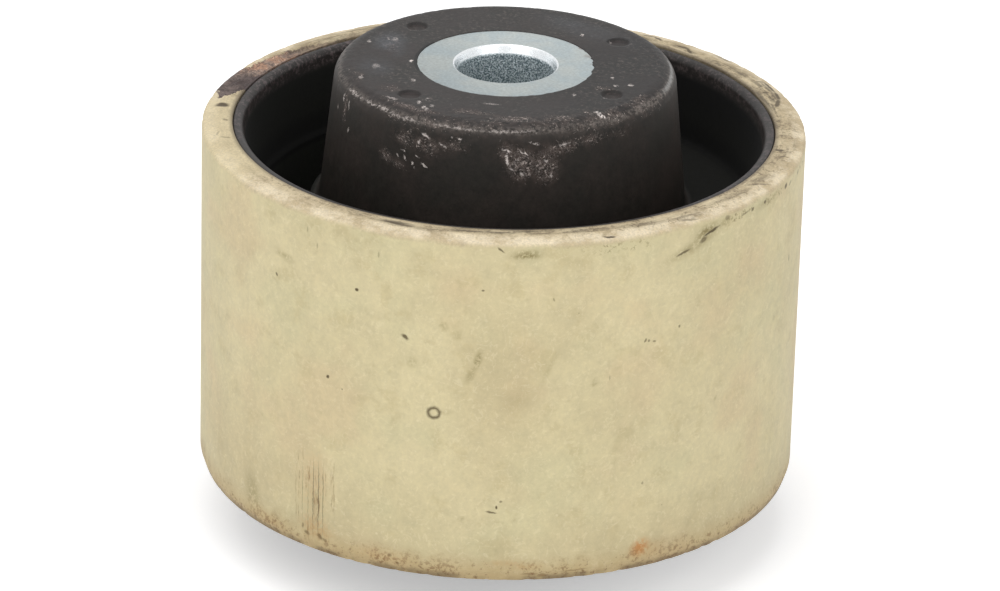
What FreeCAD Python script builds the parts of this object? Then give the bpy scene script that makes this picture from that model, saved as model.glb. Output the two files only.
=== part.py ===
"""Engine mount bush: a rubber body bonded between an outer sleeve and a thick inner sleeve.

Three pieces, each a solid of its own, in millimetres:
  outer_sleeve  plain moulded ring that is pressed into the engine bracket
  rubber_body   one moulding: lining, two webs with two through voids, and the central boss
  inner_sleeve  thick tube that the through bolt clamps

The origin is the centre of the inner sleeve's lower end face, +Z runs up the bore, and the
two voids lie on the X axis, so X is the bush's soft direction and Y its stiff one.
The rubber is bonded, so it shares its whole cylindrical faces with both sleeves.
"""
import FreeCAD, Part
import os
from math import acos, cos, degrees, radians, sin, tan

Vector = FreeCAD.Vector

# Outer sleeve
sleeve_outer_d = 65.0       # press fit in the bracket's eye
sleeve_wall = 3.3
sleeve_length = 39.0
rim_bevel_width = 1.6       # shallow bevel round the upper rim, measured along the radius
rim_bevel_drop = 0.4        # and how far it falls to the outside
lead_in_width = 0.4         # lead-in at the end that enters the bracket first
lead_in_height = 1.2

# Inner sleeve
core_outer_d = 19.0
core_length = 52.6
bore_d = 10.4               # clearance hole for an M10 bolt
bore_mouth_width = 0.36     # flare at both mouths of the bore, along the radius
bore_mouth_depth = 1.1

# Rubber body
groove_depth = 9.1          # from a rim of the outer sleeve down to the webs
boss_top_d = 36.4           # where the sloping side would meet the end face
boss_taper_deg = 6.0
boss_edge_round = 1.9
lining_lip_wall = 1.1       # lining thickness at its lip
lining_root_wall = 2.4      # and where it meets the webs
lip_recess = 0.2            # the lip ends this far inside the outer sleeve
lip_bevel = 0.7             # bevel round the inside of the lip, equal both ways

# Through voids between the webs
void_count = 2
void_first_deg = 0.0        # direction of the first void's middle, from +X towards +Y
void_span_deg = 90.0
void_boss_ledge = 1.0       # flat left between the boss's root and a void
void_lining_ledge = 0.3     # step left between the lining's root and a void

# Moulding gates on the boss's upper end
gate_d = 2.2
gate_depth = 0.3
gate_inset = 4.2            # in from the boss's top diameter
gate_angles_deg = (4.0, 70.0, 174.0, 264.0)

# Sizes that follow
sleeve_r = sleeve_outer_d / 2
sleeve_bore_r = sleeve_r - sleeve_wall
sleeve_bottom = (core_length - sleeve_length) / 2
sleeve_top = sleeve_bottom + sleeve_length
core_r = core_outer_d / 2
bore_r = bore_d / 2
web_top = sleeve_top - groove_depth
boss_top_r = boss_top_d / 2
boss_root_r = boss_top_r + (core_length - web_top) * tan(radians(boss_taper_deg))
lip_r = sleeve_bore_r - lining_lip_wall
lip_top = sleeve_top - lip_recess
lining_root_r = sleeve_bore_r - lining_root_wall


def corner(before, here, after, radius):
    """Tangent points and middle point of the arc of this radius that rounds a corner."""
    to_before = (before - here).normalize()
    to_after = (after - here).normalize()
    half_angle = acos(max(-1.0, min(1.0, to_before.dot(to_after)))) / 2
    reach = radius / tan(half_angle)
    bisector = (to_before + to_after).normalize()
    start = here + to_before * reach
    end = here + to_after * reach
    centre = here + bisector * (radius / sin(half_angle))
    return start, centre - bisector * radius, end


def turned(outline):
    """Solid of revolution about Z from (radius, height, corner radius) points in order."""
    points = [Vector(r, 0, z) for r, z, _ in outline]
    edges = []
    pen = None
    first = None
    for i, (_, _, radius) in enumerate(outline):
        before, here, after = points[i - 1], points[i], points[(i + 1) % len(points)]
        if radius > 0:
            start, crest, end = corner(before, here, after, radius)
        else:
            start = end = here
        if pen is not None:
            edges.append(Part.makeLine(pen, start))
        if radius > 0:
            edges.append(Part.Arc(start, crest, end).toShape())
        first = start if first is None else first
        pen = end
    edges.append(Part.makeLine(pen, first))
    face = Part.Face(Part.Wire(edges))
    return face.revolve(Vector(0, 0, 0), Vector(0, 0, 1), 360)


def on_circle(radius, angle_deg, z=0.0):
    """Point at this radius and direction about the bore axis."""
    return Vector(radius * cos(radians(angle_deg)), radius * sin(radians(angle_deg)), z)


def make_outer_sleeve():
    """Plain ring with a shallow bevel on its upper rim and a lead-in at its lower end."""
    return turned([
        (sleeve_bore_r, sleeve_bottom, 0),
        (sleeve_r - lead_in_width, sleeve_bottom, 0),
        (sleeve_r, sleeve_bottom + lead_in_height, 0),
        (sleeve_r, sleeve_top - rim_bevel_drop, 0),
        (sleeve_r - rim_bevel_width, sleeve_top, 0),
        (sleeve_bore_r, sleeve_top, 0),
    ])


def make_inner_sleeve():
    """Thick tube whose bore flares at both mouths."""
    return turned([
        (bore_r, bore_mouth_depth, 0),
        (bore_r + bore_mouth_width, 0, 0),
        (core_r, 0, 0),
        (core_r, core_length, 0),
        (bore_r + bore_mouth_width, core_length, 0),
        (bore_r, core_length - bore_mouth_depth, 0),
    ])


def rubber_half_outline():
    """Upper half of the rubber's section, from the inner sleeve out to the outer sleeve."""
    return [
        (core_r, core_length, 0),
        (boss_top_r, core_length, boss_edge_round),
        (boss_root_r, web_top, 0),
        (lining_root_r, web_top, 0),
        (lip_r, lip_top - lip_bevel, 0),
        (lip_r + lip_bevel, lip_top, 0),
        (sleeve_bore_r, lip_top, 0),
    ]


def round_end(inner_r, outer_r, angle_deg, turn):
    """Half circle that closes a void at this direction, bulging along the tangent."""
    end_r = (outer_r - inner_r) / 2
    along = Vector(-sin(radians(angle_deg)), cos(radians(angle_deg)), 0)
    tip = on_circle(inner_r + end_r, angle_deg) + along * (turn * end_r)
    return Part.Arc(on_circle(inner_r, angle_deg), tip, on_circle(outer_r, angle_deg)).toShape()


def void_cutter(mid_deg):
    """Kidney-shaped column with round ends that cuts one void through the webs."""
    inner_r = boss_root_r + void_boss_ledge
    outer_r = lining_root_r - void_lining_ledge
    round_deg = degrees((outer_r - inner_r) / (outer_r + inner_r))
    first_deg = mid_deg - void_span_deg / 2 + round_deg
    last_deg = mid_deg + void_span_deg / 2 - round_deg
    edges = [
        round_end(inner_r, outer_r, first_deg, -1),
        Part.Arc(*[on_circle(outer_r, a) for a in (first_deg, mid_deg, last_deg)]).toShape(),
        round_end(inner_r, outer_r, last_deg, 1),
        Part.Arc(*[on_circle(inner_r, a) for a in (last_deg, mid_deg, first_deg)]).toShape(),
    ]
    return Part.Face(Part.Wire(Part.sortEdges(edges)[0])).extrude(Vector(0, 0, core_length))


def make_rubber_body():
    """Lining, webs and boss turned in one piece, mirrored about its middle plane."""
    upper = rubber_half_outline()
    lower = [(r, core_length - z, radius) for r, z, radius in reversed(upper)]
    body = turned(upper + lower)
    for i in range(void_count):
        body = body.cut(void_cutter(void_first_deg + i * 360 / void_count))
    for angle in gate_angles_deg:
        seat = on_circle(boss_top_r - gate_inset, angle, core_length - gate_depth)
        body = body.cut(Part.makeCylinder(gate_d / 2, 2 * gate_depth, seat))
    return body


def save(name, shape):
    """Write one sub-part as parts/NAME.step."""
    shape.exportStep("parts/" + name + ".step")


os.makedirs("parts", exist_ok=True)
save("outer_sleeve", make_outer_sleeve())
save("rubber_body", make_rubber_body())
save("inner_sleeve", make_inner_sleeve())
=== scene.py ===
"""Engine mount bush: a worn cream outer ring, a moulded rubber body and a zinc-plated inner sleeve.

Shapes are worked out in millimetres and become metres when a mesh is made. Angles are in degrees
from +X towards +Y about the bore, and heights are measured up the bore from the lower end face.
"""
import bpy
import numpy as np
from mathutils import Matrix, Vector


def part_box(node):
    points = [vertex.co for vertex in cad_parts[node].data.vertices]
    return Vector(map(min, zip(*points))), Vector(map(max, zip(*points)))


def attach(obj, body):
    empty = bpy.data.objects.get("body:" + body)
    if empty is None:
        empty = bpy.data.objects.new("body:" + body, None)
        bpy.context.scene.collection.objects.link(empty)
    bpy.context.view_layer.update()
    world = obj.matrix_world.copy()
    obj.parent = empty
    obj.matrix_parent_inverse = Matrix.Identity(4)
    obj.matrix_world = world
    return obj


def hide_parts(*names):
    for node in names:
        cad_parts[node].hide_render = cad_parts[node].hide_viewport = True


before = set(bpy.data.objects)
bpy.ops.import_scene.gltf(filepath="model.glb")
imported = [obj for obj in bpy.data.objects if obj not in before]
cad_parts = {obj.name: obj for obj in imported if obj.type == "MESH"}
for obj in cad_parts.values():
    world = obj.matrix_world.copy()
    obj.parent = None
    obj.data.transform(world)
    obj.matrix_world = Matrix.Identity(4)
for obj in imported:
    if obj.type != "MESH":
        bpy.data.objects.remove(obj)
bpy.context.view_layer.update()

MM = 0.001
ring_low, ring_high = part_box("outer_sleeve")
core_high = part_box("inner_sleeve")[1]

# Outer ring
ring_r = -ring_low.x / MM
ring_top = ring_high.z / MM
ring_bottom = ring_low.z / MM
ring_bore_r = ring_r - 3.3
rim_bevel_width = 1.6
rim_bevel_drop = 0.4
lead_in_width = 0.4
lead_in_height = 1.2
ring_columns = 600

# Inner sleeve
core_r = core_high.x / MM
core_top = core_high.z / MM
bore_r = 5.2
bore_mouth_width = 0.36
bore_mouth_depth = 1.1
core_end_recess = 0.05      # the plated end lies this far under the rubber's thin flash
core_columns = 360

# Rubber body
mid_height = core_top / 2
groove_depth = 9.1
web_top = ring_top - groove_depth
boss_top_r = 18.2
boss_root_r = 19.87
boss_edge_round = 1.9
root_round = 0.8
lip_r = ring_bore_r - 1.1
lip_top = ring_top - 0.2
lip_round = 0.75
lip_heel_round = 0.28
lining_root_r = ring_bore_r - 2.4
flash_reach = 0.24          # how far the ragged flash creeps over the plated end
flash_depths = (0.10, 0.045, 0.008)     # its three rows lie this far under the boss's end
gate_r = 1.1
gate_depth = 0.3
gate_ring_r = 14.0
gate_angles_deg = (4.0, 70.0, 174.0, 264.0)

# Through voids, one on +X and one on -X
void_inner_r = boss_root_r + 1.0
void_outer_r = lining_root_r - 0.3
void_mid_r = (void_inner_r + void_outer_r) / 2
void_half_width = (void_outer_r - void_inner_r) / 2
void_tip_deg = 45.0
void_edge_round = 0.25


# Shapes ------------------------------------------------------------------------------------

def unit(vector):
    """The vector divided by its length."""
    return vector / np.linalg.norm(vector)


def rounded_outline(corners, closed=True, arc_steps=5):
    """Points (radius, height) along straight lines joined by arcs.

    Each corner is (radius, height, rounding q, steps along the straight that follows). Where
    half the corner's angle is h, the arc starts q / tan(h) from the corner and turns about
    the point q / sin(h) along the bisector.
    """
    points = np.array([corner[:2] for corner in corners], float)
    last = len(points) - 1
    arcs = []
    for i, (_, _, rounding, _) in enumerate(corners):
        here = points[i]
        if rounding == 0 or (not closed and i in (0, last)):
            arcs.append(here[None])
            continue
        to_before = unit(points[i - 1] - here)
        to_after = unit(points[(i + 1) % len(points)] - here)
        half = np.arccos(np.clip(to_before @ to_after, -1, 1)) / 2
        centre = here + unit(to_before + to_after) * rounding / np.sin(half)
        start = here + to_before * rounding / np.tan(half) - centre
        end = here + to_after * rounding / np.tan(half) - centre
        turn = np.pi - 2 * half
        t = np.linspace(0, 1, arc_steps + 1)[:, None]
        sweep = np.sin((1 - t) * turn) * start + np.sin(t * turn) * end
        arcs.append(centre + sweep / np.sin(turn))
    path = []
    for i, arc in enumerate(arcs):
        path.append(arc)
        if closed or i < last:
            t = np.linspace(0, 1, corners[i][3] + 1)[1:-1, None]
            path.append(arc[-1] * (1 - t) + arcs[(i + 1) % len(arcs)][0] * t)
    return np.concatenate(path)


def outline_normals(path):
    """Unit normals of a closed outline, to the right of its direction of travel.

    The tangent is half the difference of the next and the previous point, and the normal is
    (tangent height, -tangent radius).
    """
    tangent = np.roll(path, -1, axis=0) - np.roll(path, 1, axis=0)
    normal = np.stack([tangent[:, 1], -tangent[:, 0]], axis=1)
    return normal / np.linalg.norm(normal, axis=1, keepdims=True)


def spread(radius, height, angles):
    """Grid of points (columns, rows, 3): (radius cos angle, radius sin angle, height)."""
    turn = np.radians(angles)[:, None]
    x, y = radius * np.cos(turn), radius * np.sin(turn)
    return np.stack(np.broadcast_arrays(x, y, height), axis=-1)


def place(angle, radius, height):
    """The point at this direction, radius and height."""
    return spread(np.array(radius), np.array(height), np.array([angle]))[0, 0]


def ripple(angles, seed, waves=24, slowest=3):
    """Smooth repeatable waviness round the bore, about -1 to 1.

    The sum over k of a_k sin(k angle + p_k), with seeded a_k and p_k and a_k falling as 1/sqrt(k).
    """
    luck = np.random.default_rng(seed)
    k = np.arange(slowest, slowest + waves)
    strength = luck.normal(size=waves) / np.sqrt(k)
    phase = luck.uniform(0, 2 * np.pi, waves)
    total = np.sin(np.radians(np.asarray(angles))[..., None] * k + phase) @ strength
    return total / np.sqrt((strength ** 2).sum())


def grain(points, pitch, seed):
    """Smooth repeatable roughness in space, about -1 to 1, with bumps about one pitch apart.

    The sum of sin(w . p + phase) over seeded directions w of length 2 pi / pitch times 0.6 to 1.6.
    """
    waves = 40
    luck = np.random.default_rng(seed)
    way = luck.normal(size=(waves, 3))
    way /= np.linalg.norm(way, axis=1, keepdims=True)
    way *= luck.uniform(0.6, 1.6, (waves, 1)) * 2 * np.pi / pitch
    phase = luck.uniform(0, 2 * np.pi, waves)
    return np.sin(points @ way.T + phase).sum(axis=-1) / np.sqrt(waves / 2)


def smooth(value, low, high):
    """0 below low, 1 above high and 3t^2 - 2t^3 between."""
    t = np.clip((value - low) / (high - low), 0, 1)
    return t * t * (3 - 2 * t)


def wrap(angles):
    """Angles brought to between -180 and 180."""
    return (np.asarray(angles) + 180) % 360 - 180


def dent(points, centre, along, half_length, half_width):
    """exp(-(a / half_length)^2 - (b / half_width)^2), a along a direction and b off that line."""
    offset = points - centre
    a = offset @ along
    b = np.linalg.norm(offset - a[..., None] * along, axis=-1)
    return np.exp(-(a / half_length) ** 2 - (b / half_width) ** 2)


def quads(index):
    """Faces of a grid of vertex numbers (columns, rows), closed both ways."""
    right = np.roll(index, -1, axis=0)
    up = np.roll(index, -1, axis=1)
    corner = np.roll(right, -1, axis=1)
    return np.stack([index, right, corner, up], axis=-1)


def numbered(grid):
    """Vertex numbers in the shape of a grid of numbers."""
    return np.arange(grid.size).reshape(grid.shape)


def add_object(name, data):
    """A new object of this mesh, lamp or camera, in the scene."""
    made = bpy.data.objects.new(name, data)
    bpy.context.scene.collection.objects.link(made)
    return made


def make_piece(name, points, faces, material, slot, node, **fields):
    """One smooth-shaded mesh from points in millimetres, on the one body, in place of a node.

    Unused points are dropped, and each named field becomes a number at every point.
    """
    used, faces = np.unique(faces, return_inverse=True)
    faces = faces.reshape(-1, 4)
    mesh = bpy.data.meshes.new(name)
    mesh.from_pydata((points.reshape(-1, 3)[used] * MM).tolist(), [], faces.tolist())
    mesh.update()
    mesh.shade_smooth()
    for field, values in fields.items():
        attribute = mesh.attributes.new(field, "FLOAT", "POINT")
        attribute.data.foreach_set("value", values.reshape(-1)[used].astype(np.float32))
    mesh.materials.append(material)
    piece = add_object(name, mesh)
    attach(piece, "root")
    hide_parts(node)
    return piece


# Wear on the ring
torn_far_deg = 166.0            # angle of the torn patch's far end
torn_mid_r = 30.5               # radius at which its angles become millimetres
torn_sink = 0.30
rim_chips = 0.05                # depth of the chips along the upper outer edge
foot_chips = 0.10               # and along the lower one
side_waves = 0.006              # waviness of the whole surface
round_mark = (-61.5, 25.95)     # angle and height of the small ring-shaped mark
rust_spot = (-21.5, 9.3)        # and of the middle of the rust stain

side_dents = (
    # angle, height, tilt, half length, half width, depth
    (-8.2, 43.85, 16, 1.5, 0.28, 0.16),
    (-14.2, 42.5, 14, 1.1, 0.25, 0.12),
    (-67.3, 34.14, -35, 0.42, 0.25, 0.1),
    (-49.9, 44.9, -38, 0.45, 0.18, 0.08),
    (-84.8, 13.4, 90, 4.6, 0.22, 0.05),
    (-86.6, 14.4, 90, 3.6, 0.2, 0.04),
    (-88.9, 12.6, 90, 3.2, 0.2, 0.04),
    (-83.9, 15.6, 90, 2.2, 0.18, 0.03),
    (74.0, 39.0, 70, 2.6, 0.25, 0.06),
    (118.0, 22.0, 84, 5.0, 0.25, 0.05),
    (152.0, 30.0, -20, 1.6, 0.3, 0.08),
)

rim_dents = (
    # angle, radius, tilt, half length, half width, depth
    (-145.0, 30.55, 90, 0.65, 0.22, 0.16),
    (-137.2, 29.7, 20, 0.5, 0.22, 0.1),
    (-29.5, 31.9, 4, 0.6, 0.22, 0.14),
    (-12.0, 31.6, 12, 1.0, 0.3, 0.1),
    (57.0, 29.1, 10, 2.2, 0.35, 0.1),
    (86.0, 30.1, 6, 2.4, 0.3, 0.1),
    (100.0, 29.9, 6, 2.0, 0.28, 0.1),
)

smudges = (
    # angle, height, half length, half width, tilt, strength
    (-45.2, 44.3, 1.3, 0.42, 3, 0.75),
    (-53.6, 32.33, 0.34, 0.95, -14, 0.6),
    (-54.9, 30.6, 0.4, 0.9, -20, 0.4),
    (-60.0, 35.88, 0.45, 0.26, -20, 0.5),
    (-57.5, 34.9, 0.5, 0.45, 0, 0.25),
    (-65.9, 31.42, 0.6, 0.6, 0, 0.28),
    (-93.9, 39.6, 1.3, 0.35, -12, 0.4),
    (-102.5, 10.4, 1.1, 1.9, 16, 0.42),
    (-31.8, 29.42, 0.28, 0.34, 0, 0.55),
    (-59.2, 26.0, 0.6, 0.18, 0, 0.4),
    (-12.0, 42.9, 3.2, 0.55, 17, 0.4),
    (-55.9, 13.92, 0.3, 0.3, 0, 0.35),
    (-46.1, 13.86, 0.3, 0.18, 0, 0.35),
    (-40.5, 31.5, 0.3, 2.2, -24, 0.22),
    (-46.0, 28.0, 1.6, 1.3, 20, 0.15),
    (14.3, 29.97, 0.34, 0.45, 0, 0.28),
    (-4.9, 24.44, 0.16, 0.22, 0, 0.4),
    (-8.9, 44.2, 1.3, 0.55, 17, 0.75),
    (-4.2, 44.4, 1.2, 0.3, 4, 0.5),
    (10.0, 44.5, 2.6, 0.3, 3, 0.45),
    (88.0, 24.0, 0.5, 2.6, 10, 0.35),
    (-220.0, 33.0, 1.4, 0.6, 20, 0.35),
    (-195.0, 14.0, 1.2, 1.6, 0, 0.3),
)

rust_stains = (
    # angle, height, half length, half width, tilt, strength
    (*rust_spot, 0.62, 0.62, 0, 0.85),
    (-20.0, 8.9, 1.5, 0.7, 0, 0.4),
    (-47.6, 9.0, 1.6, 0.28, 3, 0.45),
    (-43.5, 8.6, 1.5, 0.32, 3, 0.45),
    (-85.3, 9.6, 1.8, 1.1, -10, 0.55),
    (-86.0, 13.8, 1.6, 3.8, 0, 0.22),
    (-97.5, 8.0, 2.6, 0.8, -8, 0.35),
    (-71.0, 8.4, 2.6, 0.7, 0, 0.4),
    (72.0, 9.0, 2.0, 0.9, 0, 0.35),
)

aged_areas = (
    # angle, height, half length, half width, tilt, strength
    (-50.0, 29.0, 3.6, 8.0, 0, 0.8),
    (-36.0, 36.0, 4.0, 3.0, 0, 0.4),
    (-100.0, 13.0, 9.0, 4.5, 0, 0.75),
    (-82.0, 9.5, 8.0, 3.0, 0, 0.8),
    (-108.0, 13.0, 7.0, 6.0, 0, 1.0),
    (-60.0, 8.0, 14.0, 1.8, 0, 0.6),
    (-15.0, 10.0, 12.0, 3.0, 0, 0.65),
    (110.0, 16.0, 16.0, 7.0, 0, 0.6),
    (30.0, 9.0, 14.0, 2.4, 0, 0.6),
    (200.0, 26.0, 8.0, 12.0, 0, 0.4),
)

rim_smears = (
    # angle, radius, half length, half width, tilt, strength
    (-47.3, 30.0, 3.2, 0.5, 0, 0.85),
    (-57.0, 30.2, 2.6, 0.45, 0, 0.75),
    (-36.0, 30.2, 3.4, 0.35, 0, 0.7),
    (-64.0, 30.7, 1.8, 0.35, 0, 0.5),
    (-71.0, 30.4, 1.9, 0.5, 0, 0.95),
    (-78.0, 30.0, 1.6, 0.3, 0, 0.6),
    (-22.0, 30.6, 3.0, 0.4, 4, 0.6),
    (-12.0, 31.0, 2.4, 0.4, 8, 0.55),
    (56.0, 29.6, 5.0, 0.35, -4, 0.75),
    (62.0, 30.6, 3.4, 0.5, 8, 0.55),
    (77.0, 30.2, 3.8, 0.45, -4, 0.6),
    (88.0, 30.3, 2.0, 0.35, 0, 0.7),
    (99.0, 30.0, 3.0, 0.35, 6, 0.7),
    (80.6, 31.85, 1.3, 0.34, 0, 0.85),
    (57.0, 30.3, 1.3, 0.6, 20, 1.0),
    (62.5, 30.7, 2.4, 0.75, 0, 0.8),
    (71.5, 30.4, 1.4, 0.5, 0, 0.6),
    (30.0, 31.0, 2.2, 0.5, 10, 0.4),
    (12.0, 30.4, 2.2, 0.45, 20, 0.5),
    (2.0, 30.6, 2.6, 0.45, 6, 0.5),
    (120.0, 30.6, 3.0, 0.5, 0, 0.45),
    (-210.0, 30.5, 5.0, 0.55, 0, 0.5),
    (-196.0, 30.4, 5.5, 0.6, 0, 0.6),
)


def soft_marks(across, level, table, reach, soft=0.8):
    """Oval marks on a flattened surface as one number from 0 to 1.

    Each row is (across, level, half length, half width, tilt, strength); across is an angle on a
    round surface of radius reach, or millimetres where reach is 0. Turned by the tilt and divided
    by the half sizes, the offset's length falls from strength to 0 between 1 - soft and 1 + soft;
    the largest mark counts.
    """
    total = np.zeros(np.broadcast(across, level).shape)
    for place_across, up, half_length, half_width, tilt, strength in table:
        a = np.radians(wrap(across - place_across)) * reach if reach else across - place_across
        b = level - up
        c, s = np.cos(np.radians(tilt)), np.sin(np.radians(tilt))
        length = np.hypot((a * c + b * s) / half_length, (b * c - a * s) / half_width)
        total = np.maximum(total, strength * (1 - smooth(length, 1 - soft, 1 + soft)))
    return total


def torn_depth(angles, radius):
    """How far a point of the rim lies inside the torn patch at the back left, in millimetres.

    The patch runs from the ring's bore out to an edge radius that is looked up by angle, and its
    near end slants, as an angle looked up by radius. The depth is the least of edge - radius and
    the distances round the bore to its two ends.
    """
    turn = (angles + 360) % 360
    edge = np.interp(turn, (168, 175, 183, 188, 192, 195, 203, 207, 211),
                     (29.2, 30.3, 31.1, 31.5, 32.0, 33.0, 33.0, 32.3, 31.6))
    near_end = np.interp(radius, (29.2, 29.7, 30.4, 31.0, 31.5, 31.9),
                         (205.4, 206.6, 209.4, 210.2, 211.3, 207.5))
    ends = np.minimum(turn - torn_far_deg, near_end - turn) * np.radians(torn_mid_r)
    return np.minimum(edge - radius, ends)


def make_ring(material):
    """Outer ring: a rounded outline turned about the bore, then dented along its normals.

    Each dent is exp(-(a/length)^2 - (b/width)^2) times its depth. The torn patch sinks by
    torn_sink plus grain, less near the outer edge, and both outer edges are chipped by up to
    0.1 mm. Nothing goes past the ring's own radius and ends.
    """
    outline = rounded_outline([
        (ring_bore_r, ring_bottom, 0.15, 4),
        (ring_r - lead_in_width, ring_bottom, 0.25, 3),
        (ring_r, ring_bottom + lead_in_height, 0.9, 82),
        (ring_r, ring_top - rim_bevel_drop, 0.42, 6),
        (ring_r - rim_bevel_width, ring_top, 1.4, 6),
        (ring_bore_r, ring_top, 0.16, 2),
    ])
    normals = outline_normals(outline)
    angles = np.arange(ring_columns) * 360 / ring_columns
    points = spread(outline[:, 0], outline[:, 1], angles)
    outward = spread(normals[:, 0], normals[:, 1], angles)
    radius = np.broadcast_to(outline[:, 0], points.shape[:2])
    height = points[..., 2]
    turn = np.broadcast_to(angles[:, None], radius.shape)
    sink = np.zeros(radius.shape)
    for angle, level, tilt, half_length, half_width, depth in side_dents:
        tangent = place(angle + 90, np.cos(np.radians(tilt)), np.sin(np.radians(tilt)))
        middle = place(angle, ring_r, level)
        sink += depth * dent(points, middle, tangent, half_length, half_width)
    for angle, reach, tilt, half_length, half_width, depth in rim_dents:
        tangent = place(angle + 90 - tilt, 1.0, 0.0)
        middle = place(angle, reach, ring_top)
        sink += depth * dent(points, middle, tangent, half_length, half_width)
    on_rim = smooth(height, ring_top - 0.62, ring_top - 0.35)
    worn = torn_depth(turn, radius) + 0.16 * grain(points, 1.1, 5)
    spread_over = smooth(height + 0.12 * grain(points, 0.8, 4), ring_top - 1.25, ring_top - 0.95)
    torn = smooth(worn, 0.0, 0.35) * on_rim * (1 - 0.8 * smooth(radius, ring_r - 0.9, ring_r - 0.3))
    sink += torn * (torn_sink + 0.07 * grain(points, 0.9, 6))
    edge = smooth(radius, ring_r - 1.3, ring_r - 0.1)
    edge *= smooth(height, ring_top - 1.2, ring_top - 0.5)
    sink += edge * rim_chips * smooth(grain(points, 2.4, 7), 0.2, 1.4)
    foot = smooth(-height, -ring_bottom - 1.0, -ring_bottom) * smooth(radius, ring_r - 1.2, ring_r)
    sink += foot * foot_chips * smooth(grain(points, 1.6, 8), 0.4, 1.6)
    sink += side_waves * grain(points, 6.0, 9)
    hidden = radius < ring_bore_r + 0.02
    points = points - outward * np.where(hidden, 0, sink)[..., None]
    limit = ring_r / np.maximum(np.hypot(points[..., 0], points[..., 1]), ring_r)
    points[..., :2] *= limit[..., None]
    points[..., 2] = np.clip(points[..., 2], ring_bottom, ring_top)
    return make_piece(
        "outer_ring", points, quads(numbered(radius)), material, "sleeve_plastic", "outer_sleeve",
        torn=np.clip(worn, -1, 1) * spread_over - (1 - spread_over),
        smudge=soft_marks(turn, height, smudges, ring_r) * (1 - on_rim),
        stain=soft_marks(turn, height, rust_stains, ring_r, 0.9) * (1 - on_rim),
        age=soft_marks(turn, height, aged_areas, ring_r, 1.0) * (1 - on_rim),
        smear=soft_marks(turn, radius, rim_smears, ring_r) * on_rim)


def make_core(material):
    """Inner sleeve: a tube with softened ends whose bore flares at both mouths, turned about Z."""
    top = core_top - core_end_recess
    outline = rounded_outline([
        (bore_r, bore_mouth_depth, 0.5, 3),
        (bore_r + bore_mouth_width, 0, 0.22, 8),
        (core_r, 0, 0.12, 4),
        (core_r, top, 0.05, 10),
        (bore_r + bore_mouth_width, top, 0.22, 4),
        (bore_r, top - bore_mouth_depth, 0.5, 40),
    ])
    angles = np.arange(core_columns) * 360 / core_columns
    points = spread(outline[:, 0], outline[:, 1], angles)
    faces = quads(numbered(points[..., 0]))
    return make_piece("inner_tube", points, faces, material, "zinc_steel", "inner_sleeve")


def fold(angles):
    """Angle from the nearest void's middle, 0 to 90."""
    off = np.abs(wrap(angles))
    return np.minimum(off, 180 - off)


boss_side_r = 18.6              # radius at which the boss's angles become millimetres

# A void's round end, seen from the bore's axis
void_round_deg = np.degrees(void_half_width / void_mid_r)
void_arc_deg = void_tip_deg - void_round_deg
void_graze_deg = np.degrees(np.arcsin(void_half_width / void_mid_r))
void_end_deg = void_arc_deg + void_graze_deg


def rubber_angles():
    """Column directions: even along the voids and webs, and crowded at each void's round end.

    In one quarter they are 0 to the arc's end, then arc + graze sin(t) round the end, then
    quickly widening steps into the web. The other quarters mirror it.
    """
    arc = np.linspace(0, void_arc_deg, 52)[:-1]
    tip = void_arc_deg + void_graze_deg * np.sin(np.linspace(0, np.pi / 2, 15))
    near = void_end_deg + np.array([0.08, 0.2, 0.38, 0.62, 0.95, 1.4])
    web = np.linspace(near[-1], 90, 58)[1:]
    quarter = np.concatenate([arc, tip, near, web])
    half = np.concatenate([quarter, (180 - quarter[:-1])[::-1]])
    return np.concatenate([half, 180 + half[1:-1]])


def void_edges(angles):
    """Inner and outer radius of the void on each column; both are the join radius on a web.

    Along the arc they are mid -+ half width. On the round end, a ray b degrees past the arc
    meets the circle at mid cos b -+ sqrt(width^2 - mid^2 sin^2 b).
    """
    past = np.clip(fold(angles) - void_arc_deg, 0, void_graze_deg)
    b = np.radians(past)
    reach = np.sqrt(np.clip(void_half_width ** 2 - (void_mid_r * np.sin(b)) ** 2, 0, None))
    middle = void_mid_r * np.cos(b)
    return middle - reach, middle + reach


def void_distance(angles, radius):
    """Distance to the nearest void's rim, negative inside.

    It is |r - mid| along the arc and the distance to an end's centre past it, less the half width.
    """
    past = np.radians(np.clip(fold(angles) - void_arc_deg, 0, None))
    side = np.abs(radius - void_mid_r)
    end = np.hypot(radius * np.cos(past) - void_mid_r, radius * np.sin(past))
    return np.where(past > 0, end, side) - void_half_width


def edge_drop(distance):
    """Fall of a quarter-round edge: q - sqrt(q^2 - (q - d)^2) within q of the void."""
    q = void_edge_round
    inside = np.clip(q - distance, 0, q)
    return q - np.sqrt(q * q - inside ** 2)


def inner_outline(rows_top, rows_side, steps):
    """Boss section from the flash over the plated end down to the end of its root round."""
    return rounded_outline([
        (core_r + 0.10, core_top, 0, rows_top),
        (boss_top_r, core_top, boss_edge_round, rows_side),
        (boss_root_r, web_top, root_round, 1),
        (boss_root_r + 5, web_top, 0, 0),
    ], closed=False, arc_steps=steps)[:-1]


def outer_outline(rows_wall, steps):
    """Lining section from its root round up over the lip to the ring."""
    outline = rounded_outline([
        (lining_root_r - 5, web_top, 0, 1),
        (lining_root_r, web_top, root_round, rows_wall),
        (lip_r, lip_top, lip_round, 2),
        (ring_bore_r, lip_top, lip_heel_round, 1),
        (ring_bore_r, lip_top - 1.0, 0, 0),
    ], closed=False, arc_steps=steps)
    return outline[outline[:, 0] > lining_root_r - 0.2]


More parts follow.
